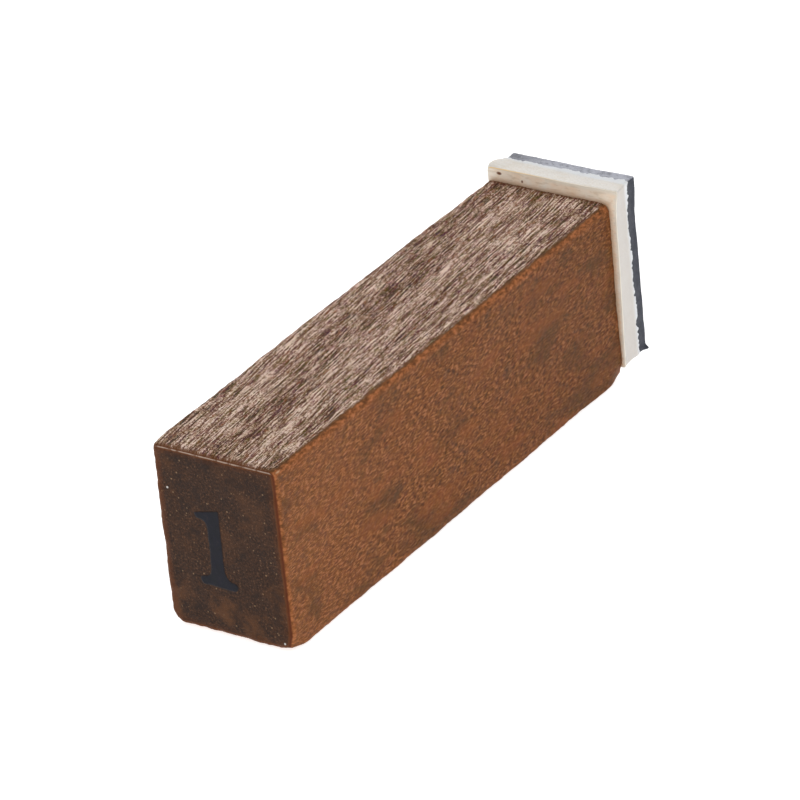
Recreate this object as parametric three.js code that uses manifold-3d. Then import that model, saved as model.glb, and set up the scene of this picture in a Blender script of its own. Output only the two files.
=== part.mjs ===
// Single-digit hand stamp: a stained hardwood handle with a foam cushion and a rubber die glued on one end.
// Millimetres, +Z up. The stamp lies on a long narrow side: +X is its width and +Y points from the marked
// end of the handle to the die. The origin is the centre of the long face that it rests on.
import * as THREE from "three";
import { mergeVertices } from "three/addons/utils/BufferGeometryUtils.js";
import Module from "manifold-3d";

// Driving dimensions.
const HANDLE_WIDTH = 9.6;
const HANDLE_LENGTH = 40;
const HANDLE_HEIGHT = 13.3;
// The two lower long edges are sanded rounder than the two upper ones.
const TOP_EDGE_RADIUS = 0.45;
const BOTTOM_EDGE_RADIUS = 0.85;
const END_EDGE_RADIUS = 0.25;

// The pad is one cut stack: film, cushion, film and die share its outline, which is a little larger than
// the handle's end and was glued on slightly high, so that it stops above the surface the handle rests on.
const PAD_OVERHANG_LEFT = 0.08;
const PAD_OVERHANG_RIGHT = 0.37;
const PAD_OVERHANG_TOP = 0.88;
const PAD_LIFT = 1.05;
const FILM_THICKNESS = 0.1;
const CUSHION_THICKNESS = 1.3;
const DIE_FLOOR_THICKNESS = 1;
const FLASH_REACH = 0.25;
const FLASH_HEIGHT = 0.5;

// The numeral, as printed on the handle and as moulded on the die. Its stem is centred on NUMERAL_X.
const NUMERAL_HEIGHT = 5.8;
const NUMERAL_X = -0.56;
const NUMERAL_BASE_Z = 3.57;
const STEM_WIDTH = 1.07;
const SERIF_WIDTH = 3;
const SERIF_THICKNESS = 0.62;
const SERIF_TIP_ROUND = 0.31;
const SERIF_TIP_CHAMFER = 0.15;
const BRACKET_HEIGHT = 0.93;
const FLAG_REACH = 0.96;
const FLAG_SLOPE = 0.53;
const FLAG_TIP_HEIGHT = 0.4;
const FLAG_BRACKET_HEIGHT = 0.56;
const INK_DEPTH = 0.04;
const CUTTER_REACH = 1;
const RELIEF_HEIGHT = 1;
const RELIEF_FLANK = 0.18;

// Derived places along the stamp.
const MARKED_END = -HANDLE_LENGTH / 2;
const GLUED_END = HANDLE_LENGTH / 2;
const CUSHION_START = GLUED_END + FILM_THICKNESS;
const DIE_FILM_START = CUSHION_START + CUSHION_THICKNESS;
const DIE_START = DIE_FILM_START + FILM_THICKNESS;
const DIE_FLOOR_END = DIE_START + DIE_FLOOR_THICKNESS;

const CORNER_SEGMENTS = 6;
const CURVE_SEGMENTS = 8;
const END_EDGE_SEGMENTS = 3;
const MERGE_DISTANCE = 1e-4;

const MATERIALS = {
  stainedWood: new THREE.MeshStandardMaterial({ color: 0x74503a, roughness: 0.6, metalness: 0 }),
  stampInk: new THREE.MeshStandardMaterial({ color: 0x24262c, roughness: 0.7, metalness: 0 }),
  adhesive: new THREE.MeshStandardMaterial({ color: 0xd2bf9f, roughness: 0.45, metalness: 0 }),
  foam: new THREE.MeshStandardMaterial({ color: 0xe6e0d6, roughness: 0.9, metalness: 0 }),
  dieRubber: new THREE.MeshStandardMaterial({ color: 0x50525c, roughness: 0.75, metalness: 0 }),
};

// A closed rectangle from (left, bottom) to (right, top) with one radius for its lower corners and one for
// its upper corners.
function roundedRectangle(left, right, bottom, top, lowerRadius, upperRadius) {
  const shape = new THREE.Shape();
  shape.moveTo(left + lowerRadius, bottom);
  shape.lineTo(right - lowerRadius, bottom);
  shape.absarc(right - lowerRadius, bottom + lowerRadius, lowerRadius, -Math.PI / 2, 0);
  shape.lineTo(right, top - upperRadius);
  shape.absarc(right - upperRadius, top - upperRadius, upperRadius, 0, Math.PI / 2);
  shape.lineTo(left + upperRadius, top);
  shape.absarc(left + upperRadius, top - upperRadius, upperRadius, Math.PI / 2, Math.PI);
  shape.lineTo(left, bottom + lowerRadius);
  shape.absarc(left + lowerRadius, bottom + lowerRadius, lowerRadius, Math.PI, Math.PI * 1.5);
  return shape;
}

// The pad's outline, sharp as it was cut.
function padOutline() {
  const left = -HANDLE_WIDTH / 2 - PAD_OVERHANG_LEFT;
  const right = HANDLE_WIDTH / 2 + PAD_OVERHANG_RIGHT;
  const top = HANDLE_HEIGHT + PAD_OVERHANG_TOP;
  return { left, right, bottom: PAD_LIFT, top };
}

function padShape() {
  const { left, right, bottom, top } = padOutline();
  return new THREE.Shape([
    new THREE.Vector2(left, bottom),
    new THREE.Vector2(right, bottom),
    new THREE.Vector2(right, top),
    new THREE.Vector2(left, top),
  ]);
}

// The die's floor has the pad's outline and a small point of flash at its lower right corner.
function dieFloorShape() {
  const { left, right, bottom, top } = padOutline();
  return new THREE.Shape([
    new THREE.Vector2(left, bottom),
    new THREE.Vector2(right, bottom),
    new THREE.Vector2(right + FLASH_REACH, bottom + FLASH_HEIGHT / 2),
    new THREE.Vector2(right, bottom + FLASH_HEIGHT),
    new THREE.Vector2(right, top),
    new THREE.Vector2(left, top),
  ]);
}

// A slab-serif numeral one: a stem, a sloping flag at its upper left and a bracketed serif at its foot.
function numeralShape() {
  const base = NUMERAL_BASE_Z;
  const top = base + NUMERAL_HEIGHT;
  const stemLeft = NUMERAL_X - STEM_WIDTH / 2;
  const stemRight = NUMERAL_X + STEM_WIDTH / 2;
  const footLeft = NUMERAL_X - SERIF_WIDTH / 2;
  const footRight = NUMERAL_X + SERIF_WIDTH / 2;
  const footTop = base + SERIF_THICKNESS;
  const footShoulder = footTop - SERIF_TIP_CHAMFER;
  const bracketTop = footTop + BRACKET_HEIGHT;
  const flagTip = stemLeft - FLAG_REACH;
  const flagTop = top - FLAG_SLOPE;
  const flagUnderside = flagTop - FLAG_TIP_HEIGHT;
  const shape = new THREE.Shape();
  shape.moveTo(footLeft + SERIF_TIP_ROUND, base);
  shape.lineTo(footRight - SERIF_TIP_ROUND, base);
  shape.quadraticCurveTo(footRight, base, footRight, footShoulder);
  shape.lineTo(footRight - SERIF_TIP_CHAMFER, footTop);
  shape.quadraticCurveTo(stemRight, footTop, stemRight, bracketTop);
  shape.lineTo(stemRight, top);
  shape.lineTo(flagTip, flagTop);
  shape.lineTo(flagTip + SERIF_TIP_CHAMFER, flagUnderside);
  shape.quadraticCurveTo(stemLeft, flagUnderside, stemLeft, flagUnderside - FLAG_BRACKET_HEIGHT);
  shape.lineTo(stemLeft, bracketTop);
  shape.quadraticCurveTo(stemLeft, footTop, footLeft + SERIF_TIP_CHAMFER, footTop);
  shape.lineTo(footLeft, footShoulder);
  shape.quadraticCurveTo(footLeft, base, footLeft + SERIF_TIP_ROUND, base);
  return shape;
}

// Extrudes an outline drawn in the XZ plane along +Y, from start by depth.
function extrudeAlongY(shape, start, depth, bevel = {}) {
  const geometry = new THREE.ExtrudeGeometry(shape, {
    depth,
    bevelEnabled: false,
    curveSegments: CURVE_SEGMENTS,
    ...bevel,
  });
  // A quarter turn about X sends the outline's y to +Z and the extrusion to -Y.
  geometry.rotateX(Math.PI / 2);
  geometry.translate(0, start + depth, 0);
  return geometry;
}

const wasm = await Module();
wasm.setup();

function toManifold(geometry) {
  const bare = geometry.clone();
  bare.deleteAttribute("normal");
  bare.deleteAttribute("uv");
  const merged = mergeVertices(bare, MERGE_DISTANCE);
  const mesh = new wasm.Mesh({
    numProp: 3,
    vertProperties: merged.attributes.position.array,
    triVerts: new Uint32Array(merged.index.array),
  });
  return new wasm.Manifold(mesh);
}

function toGeometry(manifold) {
  const { vertProperties, triVerts } = manifold.getMesh();
  const geometry = new THREE.BufferGeometry();
  geometry.setAttribute("position", new THREE.BufferAttribute(vertProperties, 3));
  geometry.setIndex(new THREE.BufferAttribute(triVerts, 1));
  geometry.computeVertexNormals();
  return geometry;
}

// The handle: a rectangular bar with sanded long edges and lightly eased ends. The numeral's ink has soaked
// into the marked end, so the wood gives way to it there.
function handleBlock() {
  const inset = END_EDGE_RADIUS;
  const core = roundedRectangle(
    -HANDLE_WIDTH / 2 + inset,
    HANDLE_WIDTH / 2 - inset,
    inset,
    HANDLE_HEIGHT - inset,
    BOTTOM_EDGE_RADIUS - inset,
    TOP_EDGE_RADIUS - inset,
  );
  const bar = extrudeAlongY(core, MARKED_END + inset, HANDLE_LENGTH - 2 * inset, {
    bevelEnabled: true,
    bevelThickness: inset,
    bevelSize: inset,
    bevelSegments: END_EDGE_SEGMENTS,
    curveSegments: CORNER_SEGMENTS,
  });
  const inked = extrudeAlongY(numeralShape(), MARKED_END - CUTTER_REACH, CUTTER_REACH + INK_DEPTH);
  return toGeometry(toManifold(bar).subtract(toManifold(inked)));
}

// The numeral's ink, flush with the marked end.
function indexNumeral() {
  return extrudeAlongY(numeralShape(), MARKED_END, INK_DEPTH);
}

// The die: a flat floor with the numeral standing on it. The relief's flanks lean out towards the floor, and
// its lower half is sunk into the floor so that the two join as one moulding.
function rubberDie() {
  const floor = extrudeAlongY(dieFloorShape(), DIE_START, DIE_FLOOR_THICKNESS);
  const sunk = DIE_FLOOR_THICKNESS / 2;
  const relief = extrudeAlongY(numeralShape(), DIE_FLOOR_END - sunk, sunk, {
    bevelEnabled: true,
    bevelThickness: RELIEF_HEIGHT,
    bevelSize: RELIEF_FLANK,
    bevelSegments: 1,
  });
  const underFloor = extrudeAlongY(padShape(), DIE_START - CUTTER_REACH, CUTTER_REACH);
  const trimmed = toManifold(relief).subtract(toManifold(underFloor));
  return toGeometry(toManifold(floor).add(trimmed));
}

const stamp = new THREE.Group();

function addPart(name, geometry, material) {
  const mesh = new THREE.Mesh(geometry, material);
  mesh.name = name;
  stamp.add(mesh);
}

addPart("handle_block", handleBlock(), MATERIALS.stainedWood);
addPart("index_numeral", indexNumeral(), MATERIALS.stampInk);
addPart("handle_adhesive_film", extrudeAlongY(padShape(), GLUED_END, FILM_THICKNESS), MATERIALS.adhesive);
addPart("foam_cushion", extrudeAlongY(padShape(), CUSHION_START, CUSHION_THICKNESS), MATERIALS.foam);
addPart("die_adhesive_film", extrudeAlongY(padShape(), DIE_FILM_START, FILM_THICKNESS), MATERIALS.adhesive);
addPart("rubber_die", rubberDie(), MATERIALS.dieRubber);

export default stamp;
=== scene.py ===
"""Looks for a digit hand stamp: stained wooden handle, printed numeral, foam cushion and rubber die."""

import math

import bpy
import numpy as np
from mathutils import Matrix, Vector
from mathutils.geometry import delaunay_2d_cdt


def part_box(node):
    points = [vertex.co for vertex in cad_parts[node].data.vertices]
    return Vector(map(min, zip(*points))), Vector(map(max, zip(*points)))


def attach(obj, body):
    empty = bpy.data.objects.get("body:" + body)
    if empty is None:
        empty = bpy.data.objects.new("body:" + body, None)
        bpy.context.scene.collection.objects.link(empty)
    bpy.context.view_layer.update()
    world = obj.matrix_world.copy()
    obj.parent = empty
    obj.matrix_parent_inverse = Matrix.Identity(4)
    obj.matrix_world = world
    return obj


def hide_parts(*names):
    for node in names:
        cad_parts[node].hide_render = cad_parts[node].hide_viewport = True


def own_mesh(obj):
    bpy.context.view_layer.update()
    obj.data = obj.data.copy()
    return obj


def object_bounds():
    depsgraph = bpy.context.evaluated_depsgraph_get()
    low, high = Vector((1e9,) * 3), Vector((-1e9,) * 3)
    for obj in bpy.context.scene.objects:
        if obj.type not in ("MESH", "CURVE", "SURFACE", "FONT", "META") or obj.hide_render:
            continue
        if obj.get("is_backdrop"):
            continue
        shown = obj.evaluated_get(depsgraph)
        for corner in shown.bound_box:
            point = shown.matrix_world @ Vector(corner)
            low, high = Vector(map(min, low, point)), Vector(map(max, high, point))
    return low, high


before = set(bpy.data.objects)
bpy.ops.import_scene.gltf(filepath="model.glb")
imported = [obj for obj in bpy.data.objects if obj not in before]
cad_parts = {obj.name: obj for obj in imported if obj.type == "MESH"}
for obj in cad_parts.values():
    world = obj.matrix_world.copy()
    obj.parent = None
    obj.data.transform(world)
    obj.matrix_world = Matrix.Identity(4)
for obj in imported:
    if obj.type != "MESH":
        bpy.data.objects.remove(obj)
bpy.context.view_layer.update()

MM = 0.001
SEED = 7

# The radius that sanding gave each of the handle's long edges. Millimetres from here on.
HANDLE_CORNERS = {"bottom_right": 0.22, "top_right": 0.54, "top_left": 0.22, "bottom_left": 1.1}
# The distance between mesh points along each side of its section, along its length, and over its ends.
HANDLE_STEPS = {"bottom": 0.14, "right": 0.115, "top": 0.072, "left": 0.13}
HANDLE_ROW_STEP = 0.19
HANDLE_CAP_STEP = 0.17
MARKED_END_ROUND = 0.38
GLUED_END_ROUND = 0.12
END_ROUND_ROWS = 5
LEAST_RADIUS = 0.05
# Its lower right corners are worn round at both ends, and the upper left one at the marked end.
END_WEAR = 0.24
MARKED_END_WEAR = 0.08
END_WEAR_REACH = 1.6
CORNER_REACH = 1.4
UPPER_CORNER_REACH = 0.6
# The value of "edge" on points that aren't near a long edge.
FAR_FROM_EDGE = 9.0

# How far the grain drifts round the section for each millimetre along the handle.
GRAIN_DRIFT = 0.07
FIGURE_DRIFT = 0.106
# The brushed top's bands of figure, across it: (place, how pale).
FIGURE_BANDS = (
    (0.0, 0.35), (0.15, 0.8), (0.3, 0.32), (0.45, 0.3), (0.56, 0.95), (0.68, 0.35), (0.82, 0.65), (1.0, 0.3)
)

# The pad's sheets, cut together.
PAD_CORNERS = {"bottom_right": 0.18, "top_right": 0.16, "top_left": 0.3, "bottom_left": 0.2}
PAD_STEP = 0.085
PAD_FACE_STEP = 0.45
SEEN_FILM_STEP = 0.25
PAD_TURN_STEP = 0.05
CUT_WAVE = 0.035
BLADE_ANGLE = 42
FILM_SETBACK = 0.02
FILM_EASE = 0.015
FILM_BULGE = 0.01
FILM_GAP = 0.002
CUSHION_ROWS = 15
CUSHION_PINCH = 0.05
# The foam swells at its upper left corner, then draws in to the rubber, which stops short on its left.
CORNER_SWELL = 0.24
CORNER_TRIM = 0.25
DIE_LEFT_SHORT = 0.36
DIE_ROWS = 9
DIE_HOLLOW = 0.03
DIE_EASE = 0.015
FLASH_PLACE = 0.15
FLASH_REACH = 0.3
# The pad's upper right corner curls away from the wood, further down at the rubber than at the film. Beside
# the wood its foot sags, and its right side leans in below and out above.
CORNER_CURL = 0.28
CURL_REACH = (1.4, 3.2)
FOOT_SAG = 0.3
SAG_REACH = 2.5
LEAN = (-0.15, 0.2)
FOAM_PROUD = 0.05
TORN_REACH = 0.34
# The torn rim, out to the tips of the tufts and back: (share of the way, how far off the foam's side).
TORN_PROFILE = ((0.0, 0.0), (0.5, 0.01), (1.0, 0.0), (0.6, -0.02), (0.0, -0.025))

# The numerals.
INK_STEP = 0.06
INK_FACE_STEP = 0.11
INK_RAG = 0.05
INK_DEPTH = 0.03
INK_RISE = 0.012
RELIEF_STEP = 0.08
RELIEF_FACE_STEP = 0.16
DIE_FACE_STEP = 0.2
RELIEF_HEIGHT = 1.0
# The raised numeral's flank, from its foot to its crown: (how far out, how high).
RELIEF_PROFILE = (
    (0.34, 0.0), (0.25, 0.02), (0.2, 0.08), (0.14, 0.3), (0.08, 0.6), (0.03, 0.88), (0.0, 0.96), (-0.04, 1.0)
)

# The viewpoint: degrees, millimetres of lens, and metres.
CAMERA_AZIMUTH = 36.333
CAMERA_ELEVATION = 28.440
CAMERA_ROLL = -6.003
CAMERA_LENS = 295.86
CAMERA_PLACE = (0.22592, -0.30653, 0.21350)
LAMP_TARGET = (0, 0, 0.006)
WORLD_STRENGTH = 0.72
FLOOR_GREY = 0.7
FLOOR_GLOW = 0.75
FLOOR_HALF = 1.2

WHITE = (1.0, 1.0, 1.0, 1.0)

SIDES = ("bottom", "right", "top", "left")
CORNERS = ("bottom_right", "top_right", "top_left", "bottom_left")


# ---- outlines and meshes


def srgb(red, green, blue):
    """A linear RGBA colour from 8-bit sRGB numbers."""
    def linear(level):
        share = level / 255
        return share / 12.92 if share <= 0.04045 else ((share + 0.055) / 1.055) ** 2.4
    return (linear(red), linear(green), linear(blue), 1.0)


def box_mm(node):
    """A CAD node's lowest and highest corner in millimetres."""
    low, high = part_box(node)
    return np.array(low) / MM, np.array(high) / MM


def rounded_ring(low, high, radii, steps, turn_step=0.09, inset=0.0):
    """A rounded rectangle in XZ, counter-clockwise from its lower left corner, moved in by inset. Returns
    its points, their outward normals, the distance round it, and each side's share."""
    left, right, bottom, top = low[0], high[0], low[2], high[2]
    corners = np.array([(left, bottom), (right, bottom), (right, top), (left, top)], float)
    points, normals, spots = [], [], []
    for k, side in enumerate(SIDES):
        first, last = radii[CORNERS[k - 1]], radii[CORNERS[k]]
        start, stop = corners[k], corners[(k + 1) % 4]
        run = np.linalg.norm(stop - start)
        along = (stop - start) / run
        normal = np.array([along[1], -along[0]])
        count = round((run - first - last) / steps[side])
        turns = max(3, round(last * math.pi / 2 / turn_step))
        start, stop = start + (along - normal) * inset, stop - (along + normal) * inset
        first, last, run = max(first - inset, LEAST_RADIUS), max(last - inset, LEAST_RADIUS), run - 2 * inset
        for i in range(count):
            points.append(start + along * (first + (run - first - last) * i / count))
            normals.append(normal)
            spots.append(k)
        centre = stop - along * last - normal * last
        for i in range(turns):
            angle = math.pi / 2 * i / turns
            normals.append(normal * math.cos(angle) + along * math.sin(angle))
            points.append(centre + normals[-1] * last)
            spots.append(k + i / turns)
    points, normals, spots = np.array(points), np.array(normals), np.array(spots)
    shares = {side: np.clip(1 - np.abs((spots - k + 2) % 4 - 2), 0, 1) for k, side in enumerate(SIDES)}
    steps_round = np.linalg.norm(np.roll(points, -1, axis=0) - points, axis=1)
    return points, normals, np.concatenate([[0], np.cumsum(steps_round)[:-1]]), shares


def signed_area(loop):
    """The area inside a closed loop, above 0 if it runs counter-clockwise."""
    x, y = loop[:, 0], loop[:, 1]
    return 0.5 * float(np.sum(x * np.roll(y, -1) - np.roll(x, -1) * y))


def end_outline(node, towards):
    """The outline in XZ of a CAD node's end that looks towards -Y (-1) or +Y (+1)."""
    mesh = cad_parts[node].data
    low, high = box_mm(node)
    level = high[1] if towards > 0 else low[1]
    edges = set()
    for polygon in mesh.polygons:
        corners = [np.array(mesh.vertices[i].co) / MM for i in polygon.vertices]
        if any(abs(corner[1] - level) > 1e-3 for corner in corners):
            continue
        keys = [(round(float(corner[0]), 3), round(float(corner[2]), 3)) for corner in corners]
        for edge in zip(keys, keys[1:] + keys[:1]):
            if edge[::-1] in edges:
                edges.remove(edge[::-1])
            else:
                edges.add(edge)
    following = dict(edges)
    loop = [min(following)]
    while following[loop[-1]] != loop[0]:
        loop.append(following[loop[-1]])
    points = np.array(loop)
    return points if signed_area(points) > 0 else points[::-1]


def resampled(loop, step):
    """The closed loop with points about a step apart, its corners kept."""
    points = []
    for start, stop in zip(loop, np.roll(loop, -1, axis=0)):
        count = max(1, round(float(np.linalg.norm(stop - start)) / step))
        points += [start + (stop - start) * k / count for k in range(count)]
    return np.array(points)


def softened(values, rounds):
    """A closed run of values, each moved towards its neighbours."""
    for _ in range(rounds):
        values = 0.5 * values + 0.25 * (np.roll(values, 1, axis=0) + np.roll(values, -1, axis=0))
    return values


def outward(loop):
    """Unit normals of a counter-clockwise loop, pointing out."""
    along = np.roll(loop, -1, axis=0) - np.roll(loop, 1, axis=0)
    along /= np.linalg.norm(along, axis=1)[:, None]
    return np.stack([along[:, 1], -along[:, 0]], axis=1)


def rough(count, rounds, random):
    """A closed run of random numbers within -1..1, smoother with more rounds."""
    values = softened(random.normal(size=count), rounds)
    return values / np.abs(values).max()


def near(values, centre, reach):
    """1 at the centre, falling smoothly to 0 at reach from it."""
    share = np.clip(1 - np.abs(values - centre) / reach, 0, 1)
    return share * share * (3 - 2 * share)


def inside(points, loops):
    """Which of the points lie inside an odd number of the loops."""
    found = np.zeros(len(points), bool)
    x, y = points[:, 0], points[:, 1]
    for loop in loops:
        for (ax, ay), (bx, by) in zip(loop, np.roll(loop, -1, axis=0)):
            if ay != by:
                found ^= ((ay > y) != (by > y)) & (x < (bx - ax) * (y - ay) / (by - ay) + ax)
    return found


def distance_to(points, loop):
    """How far each point is from the nearest point of a loop."""
    nearest = np.full(len(points), np.inf)
    for start in range(0, len(loop), 64):
        part = loop[start:start + 64]
        nearest = np.minimum(nearest, np.linalg.norm(points[:, None] - part[None], axis=2).min(1))
    return nearest


def filled(loops, step):
    """Fills the area between the loops. Returns its points, the loops' own first, and its triangles."""
    border = np.vstack(loops)
    low, high = border.min(0), border.max(0)
    rows = np.arange(low[1], high[1], step * math.sqrt(0.75))
    grid = np.array([
        (x, y)
        for k, y in enumerate(rows)
        for x in np.arange(low[0] + (k % 2) * step / 2, high[0], step)
    ])
    grid = grid[inside(grid, loops)]
    grid = grid[distance_to(grid, border) > 0.6 * min(step, 0.2)]
    points = np.vstack([border, grid])
    edges, first = [], 0
    for loop in loops:
        count = len(loop)
        edges += [(first + i, first + (i + 1) % count) for i in range(count)]
        first += count
    found = delaunay_2d_cdt([Vector(point) for point in points], edges, [], 0, 1e-7)
    source = [origin[0] for origin in found[3]]
    triangles = np.array([[source[i] for i in triangle] for triangle in found[2]])
    triangles = triangles[inside(points[triangles].mean(1), loops)]
    a, b, c = (points[triangles[:, i]] for i in range(3))
    turned = (b[:, 0] - a[:, 0]) * (c[:, 1] - a[:, 1]) - (b[:, 1] - a[:, 1]) * (c[:, 0] - a[:, 0]) < 0
    triangles[turned] = triangles[turned][:, ::-1]
    return points, triangles


def new_object(name, data):
    """An object of the scene."""
    item = bpy.data.objects.new(name, data)
    bpy.context.scene.collection.objects.link(item)
    return item


class Skin:
    """A mesh being gathered: points in millimetres, faces, and values kept on the points."""

    def __init__(self):
        self.points, self.faces, self.values = [], [], {}
        self.count = 0

    def add(self, points, **values):
        """Adds points with their values, each for one point or for all. Returns their indices."""
        points = np.asarray(points, float)
        self.points.append(points)
        for key, value in values.items():
            value = np.asarray(value, float)
            if value.ndim == 0 or value.shape == (3,) and len(points) != 3:
                value = np.broadcast_to(value, (len(points),) + value.shape)
            self.values.setdefault(key, []).append(value)
        first = self.count
        self.count += len(points)
        return np.arange(first, self.count)

    def grow(self, rings, points, **values):
        """Adds a ring of points and joins it to the last of the rings."""
        ring = self.add(points, **values)
        if rings:
            self.bridge(ring, rings[-1])
        rings.append(ring)

    def bridge(self, ring, earlier):
        """Joins a ring to the one before it, with outward faces."""
        for i in range(len(ring)):
            j = (i + 1) % len(ring)
            self.faces.append([int(k) for k in (ring[i], ring[j], earlier[j], earlier[i])])

    def patch(self, numbers, triangles, flip=False):
        """Adds triangles, given as places in numbers."""
        order = triangles[:, ::-1] if flip else triangles
        self.faces += np.asarray(numbers)[order].tolist()

    def finish(self, name, warp=None):
        """Makes the object, its points moved by warp, with its values as attributes."""
        points = np.vstack(self.points)
        if warp:
            points = warp(points)
        mesh = bpy.data.meshes.new(name)
        mesh.from_pydata((points * MM).tolist(), [], self.faces)
        values = {key: np.concatenate(parts) for key, parts in self.values.items()}
        values["place"] = points
        for key, value in values.items():
            kind, field = ("FLOAT_VECTOR", "vector") if value.ndim == 2 else ("FLOAT", "value")
            layer = mesh.attributes.new(key, kind, "POINT")
            layer.data.foreach_set(field, value.astype(np.float32).ravel())
        mesh.polygons.foreach_set("use_smooth", [True] * len(mesh.polygons))
        return new_object(name, mesh)


def in_space(outline, y):
    """XZ points set at y along the stamp."""
    return np.column_stack([outline[:, 0], np.full(len(outline), y), outline[:, 1]])


# ---- node building


class Nodes:
    """Short calls that build the same nodes in a material and in geometry nodes."""

    def __init__(self, tree):
        self.tree = tree
        self.in_geometry = tree.bl_idname == "GeometryNodeTree"

    def add(self, kind, inputs=None, **settings):
        """A node with its settings and inputs."""
        node = self.tree.nodes.new(kind)
        for key, value in settings.items():
            setattr(node, key, value)
        for key, value in (inputs or {}).items():
            self.put(node, key, value)
        return node

    def put(self, node, key, value):
        """Links a socket, or sets a number, vector or colour."""
        socket = node.inputs[key]
        if isinstance(value, bpy.types.NodeSocket):
            self.tree.links.new(value, socket)
        else:
            socket.default_value = value

    def kept(self, name, kind, output):
        """A value kept on the mesh's points."""
        if self.in_geometry:
            node = self.add("GeometryNodeInputNamedAttribute", {"Name": name}, data_type=kind)
            return node.outputs["Attribute"]
        return self.add("ShaderNodeAttribute", attribute_name=name).outputs[output]

    def number(self, name):
        """A number kept on the points."""
        return self.kept(name, "FLOAT", "Fac")

    def vector(self, name):
        """A vector kept on the points."""
        return self.kept(name, "FLOAT_VECTOR", "Vector")

    def math(self, operation, a, b=0.0):
        """One step of arithmetic."""
        return self.add("ShaderNodeMath", {0: a, 1: b}, operation=operation).outputs[0]

    def times(self, a, b):
        """The product of two numbers."""
        return self.math("MULTIPLY", a, b)

    def total(self, *terms):
        """The sum of values and of (value, weight) pairs."""
        total = None
        for term in terms:
            term = self.times(*term) if isinstance(term, tuple) else term
            total = term if total is None else self.math("ADD", total, term)
        return total

    def centred(self, value):
        """A number from 0 to 1 taken to -0.5..0.5."""
        return self.math("SUBTRACT", value, 0.5)

    def vector_math(self, operation, a, b):
        """One step of arithmetic on vectors."""
        return self.add("ShaderNodeVectorMath", {0: a, 1: b}, operation=operation).outputs[0]

    def scaled(self, vector, scales):
        """The vector times three scales, or one for all axes."""
        return self.vector_math("MULTIPLY", vector, (scales,) * 3 if isinstance(scales, float) else scales)

    def noise(self, vector, scales, detail=2.0, roughness=0.5, shift=(0.0, 0.0, 0.0)):
        """Noise with features of about 1 / scales millimetres along each axis."""
        moved = self.vector_math("ADD", self.scaled(vector, scales), shift)
        node = self.add(
            "ShaderNodeTexNoise",
            {"Vector": moved, "Scale": 1.0, "Detail": detail, "Roughness": roughness},
            noise_dimensions="3D",
        )
        return node.outputs[0]

    def tinted(self, colour, vector, scales, amount):
        """The colour with a random tint added."""
        inputs = {"Vector": self.scaled(vector, scales), "Scale": 1.0, "Detail": 2.0}
        tint = self.add("ShaderNodeTexNoise", inputs).outputs[1]
        return self.mix(amount, colour, tint, "LINEAR_LIGHT")

    def dots(self, vector, scales, size, rarity, strength=1.0):
        """Scattered dots. Size is (full, faded) and rarity is the (none, all) of their random numbers."""
        node = self.add("ShaderNodeTexVoronoi", {"Vector": self.scaled(vector, scales), "Scale": 1.0})
        chosen = self.add("ShaderNodeSeparateColor", {0: node.outputs["Color"]}).outputs[0]
        near_point = self.between(node.outputs["Distance"], *size, strength, 0.0)
        return self.times(near_point, self.between(chosen, *rarity))

    def between(self, value, low, high, to_low=0.0, to_high=1.0, smooth=True):
        """Value taken from low..high to to_low..to_high, and held there outside."""
        node = self.add(
            "ShaderNodeMapRange",
            {0: value, 1: low, 2: high, 3: to_low, 4: to_high},
            interpolation_type="SMOOTHSTEP" if smooth else "LINEAR",
        )
        return node.outputs[0]

    def ramp(self, value, *stops):
        """A colour ramp through stops of (place, linear colour)."""
        node = self.add("ShaderNodeValToRGB", {0: value})
        elements = node.color_ramp.elements
        for element, (place, colour) in zip(elements, (stops[0], stops[-1])):
            element.position, element.color = place, colour
        for place, colour in stops[1:-1]:
            elements.new(place).color = colour
        return node.outputs[0]

    def colours(self, value, *stops):
        """A colour ramp through stops of (place, then 8-bit sRGB numbers)."""
        return self.ramp(value, *((place, srgb(*numbers)) for place, *numbers in stops))

    def mix(self, share, a, b, blend="MIX"):
        """Colour a with colour b blended in. Each is a socket or 8-bit sRGB numbers."""
        node = self.add("ShaderNodeMix", data_type="RGBA", blend_type=blend)
        for key, value in ((0, share), (6, a), (7, b)):
            self.put(node, key, srgb(*value) if isinstance(value, tuple) else value)
        return node.outputs[2]

    def overlaid(self, colour, value, low, high, share, other):
        """The colour, turning by up to share to the other as value goes from low to high."""
        return self.mix(self.between(value, low, high, 0.0, share), colour, other)

    def mix_numbers(self, share, a, b):
        """The number a, turning to b."""
        return self.add("ShaderNodeMix", {0: share, 2: a, 3: b}, data_type="FLOAT").outputs[0]

    def parts(self, vector):
        """A vector's three numbers."""
        return self.add("ShaderNodeSeparateXYZ", {0: vector}).outputs

    def speck(self, place, point, size, stretch=(1.0, 1.0, 1.0)):
        """1 within about size of one point, times the stretch along each axis, and 0 beyond."""
        gap = self.vector_math("DIVIDE", self.vector_math("SUBTRACT", place, point), stretch)
        length = self.add("ShaderNodeVectorMath", {0: gap}, operation="LENGTH").outputs["Value"]
        return self.between(length, size * 0.5, size, 1.0, 0.0)


def new_material(name):
    """A node material with its Principled shader. Returns (material, nodes, shader)."""
    material = bpy.data.materials.new(name)
    material.use_nodes = True
    return material, Nodes(material.node_tree), material.node_tree.nodes["Principled BSDF"]


def finish_shader(nodes, shader, colour, roughness, specular, height, distance, strength):
    """Sets the main inputs, and shades the surface as if height raised it by up to distance."""
    bump = nodes.add("ShaderNodeBump", {"Height": height, "Distance": distance * MM, "Strength": strength})
    nodes.put(shader, "Base Color", colour)
    nodes.put(shader, "Roughness", roughness)
    nodes.put(shader, "Specular IOR Level", specular)
    nodes.put(shader, "Normal", bump.outputs[0])


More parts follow.
